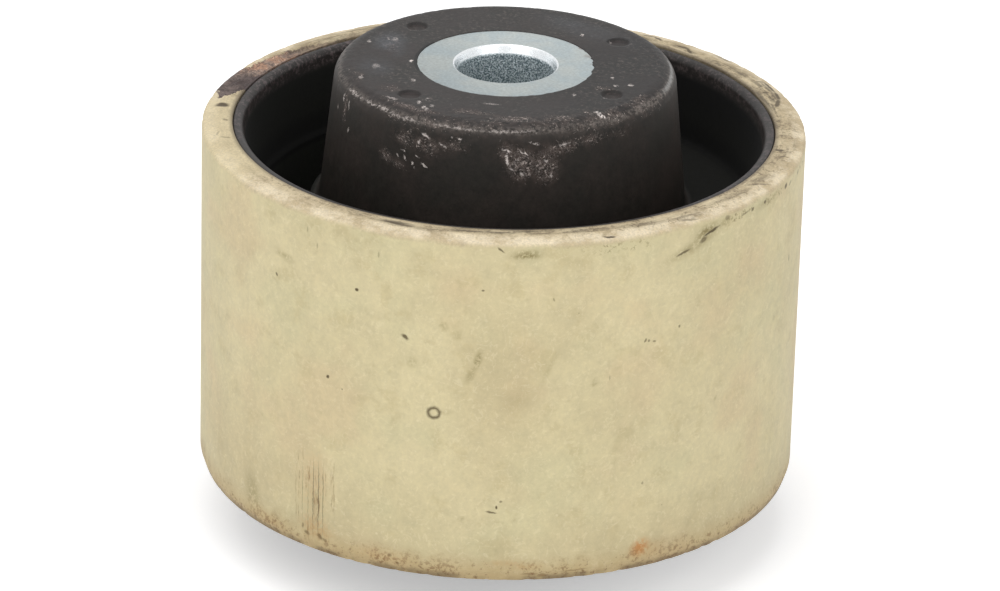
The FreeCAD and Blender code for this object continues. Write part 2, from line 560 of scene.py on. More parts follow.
def strip(start, edge, angles, rows, floor):
    """Radii and heights (columns, rows) of a ledge between a fixed radius and the void's rim.

    Radius runs start + (edge - start) sin(t), so rows crowd at the rim; the height is the
    floor's less the drop of the void's rounded edge.
    """
    t = np.sin(np.linspace(0, np.pi / 2, rows + 1))[1:]
    radius = start + (edge[:, None] - start) * t
    height = floor(radius) - edge_drop(void_distance(angles[:, None], radius))
    return radius, height


def boss_floor(radius):
    """Height of the web beside the boss: flat."""
    return np.full(radius.shape, web_top)


def lining_floor(radius):
    """Height of the web beside the lining: flat, then a circle of the root's rounding."""
    lean = np.arctan2(lip_r - lining_root_r, lip_top - web_top)
    reach = root_round / np.tan((np.pi / 2 + lean) / 2)
    past = np.clip(radius - (lining_root_r - reach), 0, root_round * 0.999)
    return web_top + root_round - np.sqrt(root_round ** 2 - past ** 2)


def loop_rows(angles, fixed, edge, ledge_rows, floor):
    """Rows of one half of the rubber's section, from the bonded face to the void's rim."""
    columns = len(angles)
    radius = np.broadcast_to(fixed[:, 0], (columns, len(fixed)))
    height = np.broadcast_to(fixed[:, 1], (columns, len(fixed)))
    ledge_r, ledge_z = strip(fixed[-1, 0], edge, angles, ledge_rows, floor)
    return np.concatenate([radius, ledge_r], axis=1), np.concatenate([height, ledge_z], axis=1)


# Wear on the rubber
scuff_depth = 0.07

boss_scuffs = (
    # angle, height, half length, half width, tilt, strength
    (-44.0, 48.6, 1.5, 1.6, 0, 1.0),
    (-36.5, 48.3, 1.4, 1.7, 10, 0.8),
    (-48.5, 49.8, 0.9, 1.2, 20, 0.8),
    (-30.0, 50.2, 2.0, 0.7, 5, 0.75),
    (-20.0, 50.6, 2.2, 0.6, 5, 0.6),
    (-91.0, 47.4, 0.9, 0.7, -20, 0.75),
    (-86.0, 46.9, 1.0, 0.5, -12, 0.65),
    (-84.0, 49.9, 1.5, 0.8, -6, 0.7),
    (-76.0, 49.7, 1.6, 0.9, -4, 0.7),
    (-67.0, 50.1, 1.8, 0.6, 0, 0.6),
    (-116.0, 49.9, 0.45, 1.9, 0, 0.65),
    (-8.0, 50.6, 2.0, 0.6, 0, 0.4),
)

end_scuffs = (
    # x, y, half length, half width, tilt, strength
    (1.4, -16.4, 2.6, 0.6, 8, 0.7),
    (-4.0, -14.0, 1.0, 0.8, 30, 0.55),
    (6.4, -13.2, 2.2, 0.7, 30, 0.6),
    (11.0, -11.5, 2.4, 0.9, 40, 0.75),
    (14.0, -8.0, 1.6, 0.8, 60, 0.6),
    (15.6, -4.6, 1.2, 0.7, 70, 0.5),
    (-2.0, -16.4, 1.6, 0.5, -6, 0.5),
    (12.2, 1.6, 1.0, 0.7, 30, 0.45),
    (-9.0, -13.6, 1.0, 0.6, -30, 0.5),
    (-12.3, -4.6, 2.1, 0.8, -48, 0.55),
)

end_haze = (
    # x, y, half length, half width, tilt, strength
    (-12.4, -4.6, 2.6, 1.4, -48, 0.6),
    (-9.6, -10.4, 2.0, 1.4, -40, 0.35),
    (0.0, 13.5, 5.0, 1.6, 0, 0.25),
)


def make_rubber(material):
    """Rubber body: two closed loops of rows round the bore that share their edges on the webs.

    The inner loop runs from the plated tube over the boss to the voids' inner wall and back
    underneath; the outer loop from the voids' outer wall over the lining's lip and back. Void
    walls exist only between a void's tips. The lower half is the upper one mirrored in height.
    """
    angles = rubber_angles()
    columns = len(angles)
    inner_edge, outer_edge = void_edges(angles)
    wall_rows = 6

    def half(rows_top, rows_side, steps, ledge_rows):
        """Radii and heights of one half of the boss, out to the voids' rim."""
        boss = inner_outline(rows_top, rows_side, steps)
        return loop_rows(angles, boss, inner_edge, ledge_rows, boss_floor)

    def lining(rows_wall, steps, ledge_rows):
        """Radii and heights of one half of the lining, in to the voids' rim."""
        wall = outer_outline(rows_wall, steps)[::-1]
        return loop_rows(angles, wall, outer_edge, ledge_rows, lining_floor)

    def closed_loop(upper, lower):
        """Upper rows, the void wall down, the lower rows mirrored back and the bonded face."""
        (top_r, top_z), (low_r, low_z) = upper, lower
        t = np.linspace(0, 1, wall_rows + 2)[1:-1]
        low_z = core_top - low_z
        wall_r = np.repeat(top_r[:, -1:], wall_rows, axis=1)
        wall_z = top_z[:, -1:] * (1 - t) + low_z[:, -1:] * t
        radius = np.concatenate([top_r, wall_r, low_r[:, ::-1]], axis=1)
        height = np.concatenate([top_z, wall_z, low_z[:, ::-1]], axis=1)
        return radius, height, top_r.shape[1] - 1

    boss_r, boss_z, boss_rim = closed_loop(half(36, 24, 10, 9), half(6, 8, 5, 5))
    ragged = 0.30 + 0.70 * smooth(-np.abs(wrap(angles - 20)), -75, -20)
    flash = core_r - flash_reach * (ragged * smooth(ripple(angles, 11, 60, 4), -0.6, 1.9))[:, None]
    flash_r = np.concatenate([np.full((columns, 1), core_r), flash, flash + 0.05], axis=1)
    flash_z = np.broadcast_to(core_top - np.array(flash_depths), (columns, 3))
    boss_r = np.concatenate([flash_r, boss_r, np.full((columns, 1), core_r)], axis=1)
    boss_z = np.concatenate([flash_z, boss_z, np.full((columns, 1), 0.05)], axis=1)
    boss_rim += 3
    lining_r, lining_z, lining_rim = closed_loop(lining(12, 7, 8), lining(5, 4, 4))

    boss = scuff_boss(sink_gates(spread(boss_r, boss_z, angles)))
    outer = spread(lining_r, lining_z, angles)

    boss_index = numbered(boss_r)
    outer_index = boss_index.size + numbered(lining_r)
    on_web = fold(angles) >= void_end_deg - 1e-9
    boss_foot = boss_rim + wall_rows + 1
    lining_foot = lining_rim + wall_rows + 1
    outer_index[on_web, lining_rim] = boss_index[on_web, boss_rim]
    outer_index[on_web, lining_foot] = boss_index[on_web, boss_foot]
    tips = np.flatnonzero(on_web & ~(np.roll(on_web, 1) & np.roll(on_web, -1)))
    boss_wall = boss_index[np.ix_(tips, np.arange(boss_rim, boss_foot + 1))]
    outer_index[np.ix_(tips, np.arange(lining_rim, lining_foot + 1))] = boss_wall
    web_pair = on_web & np.roll(on_web, -1)
    boss_keep = np.ones(boss_index.shape, bool)
    boss_keep[np.ix_(web_pair, np.arange(boss_rim, boss_foot))] = False
    outer_keep = np.ones(outer_index.shape, bool)
    outer_keep[np.ix_(web_pair, np.arange(lining_rim, lining_foot))] = False
    boss_faces = quads(boss_index)[:, :, ::-1][boss_keep]
    faces = np.concatenate([boss_faces, quads(outer_index)[outer_keep]])
    points = np.concatenate([boss.reshape(-1, 3), outer.reshape(-1, 3)])
    return make_piece("rubber_bush", points, faces, material, "black_rubber", "rubber_body",
                      **rubber_marks(points))


def gate_distance(x, y):
    """Distance in plan to the middle of the nearest gate mark."""
    middles = [place(angle, gate_ring_r, 0.0) for angle in gate_angles_deg]
    return np.min([np.hypot(x - middle[0], y - middle[1]) for middle in middles], axis=0)


def rubber_marks(points):
    """Where the rubber is chalked, hazy or has a gate, as one number each from 0 to 1.

    A gate counts 1 within its radius and falls to 0 over a quarter of a millimetre.
    """
    x, y, height = points[:, 0], points[:, 1], points[:, 2]
    radius = np.hypot(x, y)
    turn = np.degrees(np.arctan2(y, x))
    on_end = smooth(height, core_top - 0.9, core_top - 0.1)
    on_boss = smooth(radius, boss_top_r - 2.7, boss_top_r - 1.4) * (radius < boss_root_r + 0.63)
    on_boss *= height > mid_height
    sides = soft_marks(turn, height, boss_scuffs, boss_side_r) * on_boss
    ends = soft_marks(x, y, end_scuffs, 0) * on_end
    gate = 1 - smooth(gate_distance(x, y), gate_r - 0.1, gate_r + 0.15)
    return {
        "chalk": np.maximum(sides, ends),
        "haze": soft_marks(x, y, end_haze, 0, 0.95) * on_end,
        "gate": gate * smooth(height, core_top - 0.5, core_top - 0.35)}


def sink_gates(points):
    """Lower the boss's upper end by the gate's depth within its radius, with a steep soft wall."""
    on_top = smooth(points[..., 2], core_top - 0.2, core_top - 0.05)
    distance = gate_distance(points[..., 0], points[..., 1])
    points[..., 2] -= on_top * gate_depth * (1 - smooth(distance, gate_r - 0.16, gate_r + 0.12))
    return points


def scuff_boss(points):
    """Rub the boss's rounded edge by up to scuff_depth in bumpy patches, most at the front."""
    radius = np.hypot(points[..., 0], points[..., 1])
    turn = np.degrees(np.arctan2(points[..., 1], points[..., 0]))
    height = points[..., 2]
    near_edge = smooth(height, core_top - 4.0, core_top - 1.2)
    near_edge *= smooth(radius, boss_top_r - 3.2, boss_top_r - 1.2)
    front = 0.35 + 0.65 * smooth(-np.abs(wrap(turn + 45)), -75, -25)
    rub = near_edge * front * scuff_depth * smooth(grain(points, 1.3, 21), 0.1, 1.6)
    rub = np.where(height > mid_height, rub, 0)
    points[..., :2] *= (1 - rub / np.maximum(radius, 1))[..., None]
    points[..., 2] -= rub * smooth(height, core_top - 1.5, core_top)
    return points


# Finishes ----------------------------------------------------------------------------------

def tone(red, green, blue):
    """Linear colour of an sRGB colour given as 0 to 255."""
    c = np.array([red, green, blue]) / 255
    linear = np.where(c <= 0.04045, c / 12.92, ((c + 0.055) / 1.055) ** 2.4)
    return (*linear.tolist(), 1.0)


class Value:
    """One shader socket, on which arithmetic adds Math nodes; node() adds any other node."""

    def __init__(self, tree, socket=None):
        self.tree = tree
        self.socket = socket

    def node(self, kind, settings=None, inputs=None, output=0):
        """Add a node, set its properties, then fill its inputs with numbers, colours or Values."""
        made = self.tree.nodes.new(kind)
        for name, setting in (settings or {}).items():
            setattr(made, name, setting)
        for name, given in (inputs or {}).items():
            if isinstance(given, Value):
                self.tree.links.new(given.socket, made.inputs[name])
            else:
                made.inputs[name].default_value = given
        return Value(self.tree, made.outputs[output] if made.outputs else None)

    def sibling(self, name):
        """Another output of the node that this socket belongs to."""
        return Value(self.tree, self.socket.node.outputs[name])

    def math(self, operation, *others):
        """A Math node on this value and the others."""
        inputs = dict(enumerate((self, *others)))
        return self.node("ShaderNodeMath", {"operation": operation}, inputs)

    def __add__(self, other):
        return self.math("ADD", other)

    def __sub__(self, other):
        return self.math("SUBTRACT", other)

    def __mul__(self, other):
        return self.math("MULTIPLY", other)

    def __truediv__(self, other):
        return self.math("DIVIDE", other)

    def __rsub__(self, other):
        return self.node("ShaderNodeMath", {"operation": "SUBTRACT"}, {0: other, 1: self})

    __radd__ = __add__

    def either(self, other):
        """The larger of two masks."""
        return self.math("MAXIMUM", other)

    def step(self, low, high, most=1.0):
        """Smooth rise from 0 at low to the most at high, or a fall where low is above high."""
        return self.node("ShaderNodeMapRange", {"interpolation_type": "SMOOTHSTEP"},
                         {"Value": self, "From Min": low, "From Max": high, "To Max": most})

    def band(self, low, high, soft):
        """1 between low and high, fading over the soft width outside."""
        return self.step(low - soft, low) * self.step(high + soft, high)

    def blend(self, colour_off, colour_on):
        """The first colour where this mask is 0 and the second where it is 1."""
        inputs = {0: self, 6: colour_off, 7: colour_on}
        return self.node("ShaderNodeMix", {"data_type": "RGBA"}, inputs, 2)

    def over(self, mask, colour):
        """This colour with another laid over it where the mask is 1."""
        return mask.blend(self, colour)

    def shade(self, amount):
        """This colour or vector times a number."""
        return self.node("ShaderNodeVectorMath", {"operation": "SCALE"}, {0: self, "Scale": amount})

    def vector(self, operation, other):
        """A Vector Math node on this vector and another."""
        return self.node("ShaderNodeVectorMath", {"operation": operation}, {0: self, 1: other})

    def part(self, index):
        """The x, y or z of a vector."""
        return self.node("ShaderNodeSeparateXYZ", None, {0: self}, index)

    def vein(self, size, thin, detail=2.0):
        """Thin wandering lines: 1 where cloudy noise is 0.5, falling to 0 over 1 / thin."""
        cloud = self.noise(size, detail, 0.6, 1.2)
        return ((cloud - 0.5).math("ABSOLUTE") * thin).step(1.0, 0.2)

    def noise(self, size, detail=3.0, rough=0.55, distortion=0.0):
        """Cloudy noise whose lumps are about this many millimetres apart, on this position."""
        return self.node("ShaderNodeTexNoise", None, {
            "Vector": self, "Scale": 1.0 / size, "Detail": detail,
            "Roughness": rough, "Distortion": distortion})

    def swing(self, amount):
        """This noise about 0 instead of 0.5, times an amount."""
        return (self - 0.5) * amount

    def wander(self, size, detail, rough):
        """Noise as a vector, each part between -0.5 and 0.5, which frays the edges of marks."""
        return self.noise(size, detail, rough).sibling("Color").vector("SUBTRACT", (0.5, 0.5, 0.5))

    def specks(self, spacing, radius, share, seed):
        """Round specks: cells about this far apart, of which this share holds one speck."""
        moved = self.vector("ADD", (seed, seed * 1.7, seed * 0.6))
        cell = moved.node("ShaderNodeTexVoronoi", None, {"Vector": moved, "Scale": 1.0 / spacing})
        luck = cell.sibling("Color").part(0)
        far = cell * spacing
        return far.step(radius, radius * 0.4) * luck.step(1 - share, 1 - share + 0.02)

    def field(self, name):
        """A number kept at the mesh's points."""
        return self.node("ShaderNodeAttribute", {"attribute_name": name}, None, "Fac")

    def spot(self, across, up, half_long, half_wide, tilt, soft=0.5, most=1.0):
        """Oval mark on a flattened position, in millimetres, turned by tilt degrees."""
        local = self.node("ShaderNodeMapping", {"vector_type": "TEXTURE"}, {
            "Vector": self, "Location": (across, up, 0),
            "Rotation": (0, 0, np.radians(tilt)), "Scale": (half_long, half_wide, 1)})
        length = local.node("ShaderNodeVectorMath", {"operation": "LENGTH"}, {0: local}, "Value")
        return length.step(1 + soft, 1 - soft, most)

    def spots(self, table, scale, soft=0.5):
        """Rows of (across, level, half length, half width, tilt, strength) as one mask."""
        total = None
        for across, level, half_long, half_wide, tilt, strength in table:
            mark = self.spot(across * scale, level, half_long, half_wide, tilt, soft, strength)
            total = mark if total is None else total.either(mark)
        return total


def join(x, y, z):
    """A vector from three Values or numbers, at least the first of them a Value."""
    return x.node("ShaderNodeCombineXYZ", None, {0: x, 1: y, 2: z})


def emptied(holder):
    """Start of a material's or world's node tree, without its first nodes."""
    holder.use_nodes = True
    holder.node_tree.nodes.clear()
    return Value(holder.node_tree)


def new_material(name):
    """An empty material, and its position in millimetres in the object's own frame."""
    material = bpy.data.materials.new(name)
    where = emptied(material).node("ShaderNodeTexCoord", None, None, "Object")
    return material, where.shade(1 / MM)


def finish_surface(material, colour, roughness, bump, strength, distance, **sockets):
    """Principled surface with a bump, its constant values set on its own sockets."""
    start = Value(material.node_tree)
    normal = start.node("ShaderNodeBump", None, {
        "Height": bump, "Strength": strength, "Distance": distance * MM})
    inputs = {"Base Color": colour, "Roughness": roughness, "Normal": normal}
    for name, given in sockets.items():
        inputs[name.replace("_", " ").title().replace("Ior", "IOR")] = given
    surface = start.node("ShaderNodeBsdfPrincipled", None, inputs)
    start.node("ShaderNodeOutputMaterial", None, {"Surface": surface})


def round_position(point):
    """Radius, and angle between -230 and 130 so that the seam lies at the back."""
    x, y = point.part(0), point.part(1)
    radius = (x * x + y * y).math("SQRT")
    angle = y.math("ARCTAN2", x) * (180 / np.pi)
    return radius, angle.math("WRAP", -230.0, 130.0)


dark_specks = (
    # angle, height, half length, half width, tilt, strength
    (-95.9, 37.15, 0.22, 0.14, -50, 0.8),
    (-77.0, 38.41, 0.2, 0.17, 0, 1.0),
    (-67.3, 34.14, 0.42, 0.22, -35, 0.9),
    (-83.0, 27.63, 0.19, 0.19, 0, 1.0),
    (-84.3, 8.75, 0.4, 0.24, -40, 0.9),
    (-83.2, 8.55, 0.3, 0.18, -20, 0.7),
    (-87.4, 8.7, 0.34, 0.22, -20, 0.8),
    (-88.4, 9.4, 0.14, 0.3, 0, 0.6),
    (-69.4, 8.71, 0.22, 0.16, 0, 0.6),
    (-67.8, 7.9, 0.18, 0.18, 0, 0.8),
    (-53.0, 40.25, 0.15, 0.13, 0, 0.8),
    (-40.0, 39.23, 0.1, 0.18, 20, 0.5),
    (-49.4, 15.5, 0.12, 0.2, 0, 1.0),
    (-50.4, 14.94, 0.55, 0.11, -6, 0.8),
    (-48.7, 16.18, 0.16, 0.12, 30, 0.7),
    (-21.9, 33.45, 0.22, 0.14, 60, 0.7),
    (-21.1, 33.3, 0.14, 0.14, 0, 0.6),
    (-20.0, 33.14, 0.18, 0.11, 0, 0.6),
    (-14.5, 34.18, 0.14, 0.14, 0, 0.7),
    (-21.4, 16.91, 0.12, 0.16, 0, 0.5),
    (-7.6, 43.95, 1.05, 0.17, 17, 1.0),
    (-9.6, 43.3, 0.5, 0.24, 24, 0.7),
    (-14.3, 42.45, 0.85, 0.13, 15, 0.85),
    (-49.9, 44.85, 0.42, 0.1, -38, 0.8),
    (-43.0, 7.7, 0.8, 0.13, 0, 0.8),
    (-40.5, 7.45, 0.45, 0.22, 0, 0.9),
    (-34.6, 7.85, 1.3, 0.09, 2, 0.7),
    (21.2, 35.32, 0.2, 0.34, 0, 0.45),
    (17.2, 44.5, 0.34, 0.26, 20, 0.9),
    (19.6, 44.35, 0.4, 0.14, 20, 0.5),
    (24.9, 44.41, 0.3, 0.2, 30, 0.5),
    (8.1, 44.54, 0.2, 0.18, 30, 1.0),
    (3.9, 44.53, 0.24, 0.18, 10, 0.8),
    (1.4, 44.5, 0.7, 0.12, 10, 0.55),
    (-3.6, 44.9, 0.36, 0.26, 0, 0.55),
    (-88.6, 13.2, 0.05, 3.0, 0, 0.4),
    (-86.0, 13.2, 0.07, 3.8, 0, 0.6),
    (-84.8, 12.9, 0.07, 3.9, 0, 0.65),
    (-83.7, 13.0, 0.06, 3.6, 0, 0.5),
    (-87.2, 12.0, 0.05, 2.0, 0, 0.35),
)

rim_dashes = (
    # angle, radius, half length, half width, tilt, strength
    (-145.0, 30.6, 0.6, 0.72, 12, 0.95),
    (-137.2, 29.95, 0.3, 0.3, 0, 0.55),
    (-127.6, 30.3, 0.16, 0.55, 25, 0.45),
    (-130.0, 31.0, 0.55, 0.14, 20, 0.35),
    (-29.5, 31.9, 0.62, 0.17, 6, 0.95),
    (-12.0, 31.6, 1.0, 0.2, 14, 0.55),
    (-71.8, 30.35, 1.3, 0.2, 3, 0.6),
    (-68.6, 30.6, 0.9, 0.14, -4, 0.55),
    (28.7, 29.95, 0.52, 0.24, 80, 0.9),
    (25.7, 30.95, 0.48, 0.11, 80, 0.6),
    (10.2, 30.9, 1.3, 0.16, 38, 0.55),
    (66.2, 31.1, 0.7, 0.2, 85, 0.65),
    (63.2, 31.55, 1.6, 0.2, 3, 0.9),
    (58.2, 31.3, 1.2, 0.22, 9, 0.9),
    (54.1, 30.6, 1.3, 0.26, 23, 0.85),
    (60.2, 30.3, 0.42, 0.22, 85, 0.7),
    (98.9, 31.06, 0.8, 0.22, -18, 0.85),
    (96.8, 30.9, 0.8, 0.24, 26, 0.85),
    (89.9, 30.58, 0.9, 0.2, -4, 0.8),
    (87.6, 30.2, 0.9, 0.24, 30, 0.85),
)


def cream_plastic():
    """Yellowed cream plastic: soft mottling, specks, drag marks, stains and a dirty scuffed rim."""
    material, point = new_material("cream_plastic")
    radius, angle = round_position(point)
    height = point.part(2)
    ragged = point.wander(0.55, 3.0, 0.55)
    arc = np.radians(ring_r)        # millimetres along the ring's side per degree
    around = angle * arc
    side = join(around, height, 0.0).vector("ADD", ragged.shade(0.30))
    flat = join(around, radius, 0.0).vector("ADD", ragged.shade(0.35))

    # Mottling and age
    soft = point.noise(15.0, 2.0, 0.5)
    drift = point.vector("ADD", (31.0, 7.0, 3.0)).noise(10.0, 2.5, 0.55)
    medium = join(point.part(0), point.part(1), height * 0.55).noise(4.5, 3.0, 0.6)
    fine = point.noise(1.8, 4.0, 0.65)
    grit = point.noise(0.5, 4.0, 0.75)
    colour = soft.step(0.36, 0.64).blend(tone(215, 202, 160), tone(209, 196, 154))
    colour = colour.over(drift.step(0.50, 0.68) * 0.85, tone(211, 193, 152))
    colour = colour.over(drift.step(0.48, 0.32) * 0.75, tone(208, 198, 156))
    tired = point.vector("ADD", (5.0, 50.0, 2.0)).noise(3.4, 4.0, 0.65).step(0.53, 0.68)
    colour = colour.over(tired * 0.45, tone(194, 179, 134))
    light = 1.01 + medium.swing(0.22) + fine.swing(0.26) + grit.swing(0.30)
    colour = colour.over(point.field("age") * 0.6, tone(196, 179, 138))
    # darker by up to 6 percent over the lowest 10 mm
    colour = colour.shade(light - height.step(ring_bottom + 10.2, ring_bottom + 0.2) * 0.06)

    # Pale specks and scratches, olive smudges, dark specks and drag lines, rust
    pale_areas = point.vector("ADD", (9.0, 2.0, 5.0)).noise(7.0, 2.0).step(0.44, 0.60)
    pale = point.specks(1.3, 0.20, 0.35, 4.0) * pale_areas
    scratches = point.vein(2.2, 34.0) * grit.step(0.44, 0.56)
    colour = colour.over(pale.either(scratches * 0.6) * 0.45, tone(233, 221, 186))
    olive = point.field("smudge") * 1.35 * grit.step(0.36, 0.55)
    colour = colour.over(olive, tone(138, 124, 76))
    random_specks = point.specks(2.3, 0.13, 0.14, 1.0) * 0.60
    upright = join(point.part(0) * 1.8, point.part(1) * 1.8, height * 0.6)
    random_specks = random_specks.either(upright.specks(2.6, 0.26, 0.16, 11.0) * 0.34)
    dark = side.spots(dark_specks, arc, 0.45).either(random_specks)

    streaks = join(angle * 1.25, height * 0.30, radius * 0.2).noise(1.0, 4.0, 0.7)
    drag = streaks.step(0.53, 0.70) * angle.band(-89.5, -82.0, 2.0)
    drag *= height.band(ring_bottom + 2.2, ring_bottom + 9.7, 2.5)
    colour = colour.over(drag * 0.75, tone(134, 104, 64))
    colour = colour.over(point.field("stain") * grit.step(0.34, 0.56), tone(186, 138, 78))
    rust = side.spot(rust_spot[0] * arc, rust_spot[1], 1.00, 0.80, 40, 0.8)
    colour = colour.over(rust * grit.step(0.32, 0.52) * 0.85, tone(196, 134, 72))

    ring_mark = side.spot(round_mark[0] * arc, round_mark[1], 0.76, 0.70, 20, 0.25)
    ring_hole = side.spot(round_mark[0] * arc, round_mark[1], 0.46, 0.40, 20, 0.35)
    dark = dark.either(ring_mark * (1 - ring_hole) * 0.90)
    colour = colour.over(dark, tone(88, 74, 42))

    # Dirt on the lower edge, a darker patchy line at its foot, and dirt on the shoulder
    low_edge = height + fine.swing(2.4) + grit.swing(1.2)
    stained = low_edge.step(ring_bottom + 3.6, ring_bottom + 0.2)
    colour = colour.over(stained * 0.55, tone(182, 151, 100))
    grime = low_edge.step(ring_bottom + 3.8, ring_bottom + 0.8)
    grime *= (grit + medium.swing(0.5)).step(0.50, 0.64)
    colour = colour.over(grime * 0.75, tone(122, 88, 46))
    # darker, in patches, within a millimetre of the lower end
    foot = (height + fine.swing(0.8)).step(ring_bottom + 1.0, ring_bottom + 0.3)
    colour = colour.over(foot * medium.step(0.36, 0.56) * 0.65, tone(104, 84, 56))
    shoulder = height.band(ring_top - 1.5, ring_top - 0.7, 0.6) * angle.band(-40.0, 70.0, 18.0)
    shoulder = shoulder * grit.step(0.50, 0.62) * medium.step(0.44, 0.58)
    colour = colour.over(shoulder * 0.7, tone(128, 112, 70))

    # Rim: bright outside, partly clean wear and partly a painted highlight on the bevel; dusty
    # inside, with smears, cracks and dashes
    rim = (height + medium.swing(0.9) + fine.swing(0.6)).step(ring_top - 0.95, ring_top - 0.32)
    rings = join(point.part(0) / radius * 9.0, point.part(1) / radius * 9.0, radius * 2.2)
    swirl = rings.noise(1.0, 4.0, 0.65)
    patchy = point.vector("ADD", (4.0, 14.0, 0.0)).noise(3.2, 4.0, 0.6)
    rim_colour = patchy.step(0.30, 0.66).blend(tone(210, 194, 160), tone(192, 174, 140))
    # painted highlight along the outer bevel, broken into patches like clean wear
    bevel_highlight_and_wear = radius.step(ring_r - 2.0, ring_r - 1.0) * radius.step(ring_r + 0.1, ring_r - 0.4)
    bevel_highlight_and_wear *= (patchy + grit.swing(0.9)).step(0.66, 0.36)
    rim_colour = rim_colour.over(bevel_highlight_and_wear * 0.80, tone(234, 219, 190))
    dusty = (grit + patchy.swing(0.5) + swirl.swing(0.5)).step(0.46, 0.66)
    dusty *= radius.step(ring_r - 0.2, ring_bore_r + 0.6)
    rim_colour = rim_colour.over(dusty * 0.72, tone(116, 102, 79))
    smears = point.field("smear") * (swirl + grit.swing(0.5)).step(0.34, 0.58)
    rim_colour = rim_colour.over(smears, tone(82, 72, 56))
    clean = angle.band(-146.0, -112.0, 8.0)
    rim_colour = rim_colour.over(clean * 0.55, tone(216, 201, 162))
    cracks = point.vein(2.6, 26.0) * angle.band(-34.0, 44.0, 12.0)
    cracks *= radius.step(ring_r - 0.3, ring_r - 1.5)
    rim_colour = rim_colour.over(cracks * grit.step(0.42, 0.56) * 0.50, tone(92, 78, 58))
    rim_colour = rim_colour.over(flat.spots(rim_dashes, arc, 0.4), tone(74, 62, 44))
    # darker along the inner edge: the dark joint to the rubber, widened by painted shade from the
    # lip beside it
    inner_edge = radius.step(ring_bore_r + 0.6, ring_bore_r + 0.04)
    rim_colour = rim_colour.over(inner_edge * 0.65, tone(92, 80, 64))
    dust = point.noise(0.22, 2.0, 0.6)
    rim_colour = rim_colour.shade(1.0 + grit.swing(0.85) + dust.swing(0.60))
    colour = rim.blend(colour, rim_colour)

    # Torn patch: dark raw plastic, rust-brown towards the back, with painted highlight flecks and
    # painted shade in its crevices
    tear = (point.field("torn") + grit.swing(0.8)).step(0.0, 0.26)
    raw = patchy.step(0.40, 0.60).blend(tone(116, 102, 96), tone(80, 68, 66))
    back = (angle + fine.swing(12.0)).step(-162.0, -168.0) * angle.step(-182.0, -175.0)
    raw = raw.over(back * 0.85, tone(150, 130, 117))
    raw = raw.over(back * fine.step(0.42, 0.60) * 0.70, tone(188, 144, 116))
    # painted highlight flecks on the torn surface
    raw = raw.over(back * grit.step(0.54, 0.64) * 0.7, tone(208, 176, 152))
    raw = raw.over(angle.step(-176.0, -184.0) * 0.85, tone(150, 132, 112))
    # painted shade along the torn surface's crevices
    raw = raw.over(point.vein(1.1, 16.0, 3.0) * 0.60, tone(58, 48, 44))
    raw = raw.shade(1.0 + grit.swing(1.3))
    colour = colour.over(tear * (1 - angle.step(-178.0, -192.0) * 0.35), raw)

    rough = 0.52 + fine.swing(0.16) + rim * 0.14 + tear * 0.16
    bump = fine * 0.25 + grit * 0.22 + patchy * rim * 0.5 + swirl * rim * 0.4 + tear * grit * 1.4
    finish_surface(material, colour, rough, bump, 0.5, 0.12, specular_ior_level=0.5)
    return material


chalk_strokes = (
    # angle, height, half length, half width, tilt, strength
    (-48.8, 50.1, 0.46, 0.12, -18, 0.9),
    (-48.7, 49.2, 0.62, 0.12, 96, 0.95),
    (-47.3, 48.1, 0.3, 0.11, -50, 0.8),
    (-44.1, 47.6, 0.4, 0.12, -20, 0.8),
    (-43.3, 49.8, 0.48, 0.11, -22, 0.95),
    (-39.8, 50.8, 0.6, 0.12, -14, 0.55),
    (-29.7, 50.5, 0.55, 0.12, 10, 0.7),
    (-34.4, 47.2, 0.18, 0.15, 0, 0.65),
    (-36.0, 48.85, 0.16, 0.16, 0, 0.55),
    (-45.9, 48.9, 0.4, 0.1, 60, 0.45),
    (-76.2, 50.7, 0.5, 0.12, -25, 0.75),
    (-78.6, 49.9, 0.14, 0.2, 0, 0.75),
    (-69.9, 50.0, 0.46, 0.12, -20, 0.65),
    (-64.7, 51.0, 0.24, 0.14, -20, 1.0),
    (-67.1, 51.0, 0.13, 0.13, 0, 0.6),
    (-84.4, 48.5, 0.34, 0.09, -25, 0.65),
    (-83.4, 47.8, 0.28, 0.1, -50, 0.9),
    (-86.2, 47.9, 0.24, 0.09, -40, 0.55),
    (-80.2, 47.3, 0.3, 0.1, -60, 0.8),
    (-76.2, 47.5, 0.36, 0.1, -30, 0.85),
    (-79.0, 48.3, 0.28, 0.09, -30, 0.65),
    (-118.1, 50.8, 0.14, 0.55, 0, 0.8),
    (-113.5, 50.6, 0.11, 0.45, 0, 0.55),
    (-122.9, 49.3, 0.13, 0.3, 0, 0.45),
    (-112.2, 48.0, 0.13, 0.26, 0, 1.0),
    (-82.0, 50.9, 0.1, 0.25, 0, 0.5),
    (-13.5, 52.45, 0.36, 0.16, -25, 1.0),
    (-112.0, 51.95, 1.6, 0.11, 0, 0.45),
    (-98.0, 51.98, 2.2, 0.11, 0, 0.48),
    (-86.0, 51.85, 1.8, 0.11, 0, 0.42),
    (-66.0, 51.95, 2.6, 0.08, 0, 0.36),
    (-48.0, 51.95, 2.8, 0.08, 0, 0.36),
)

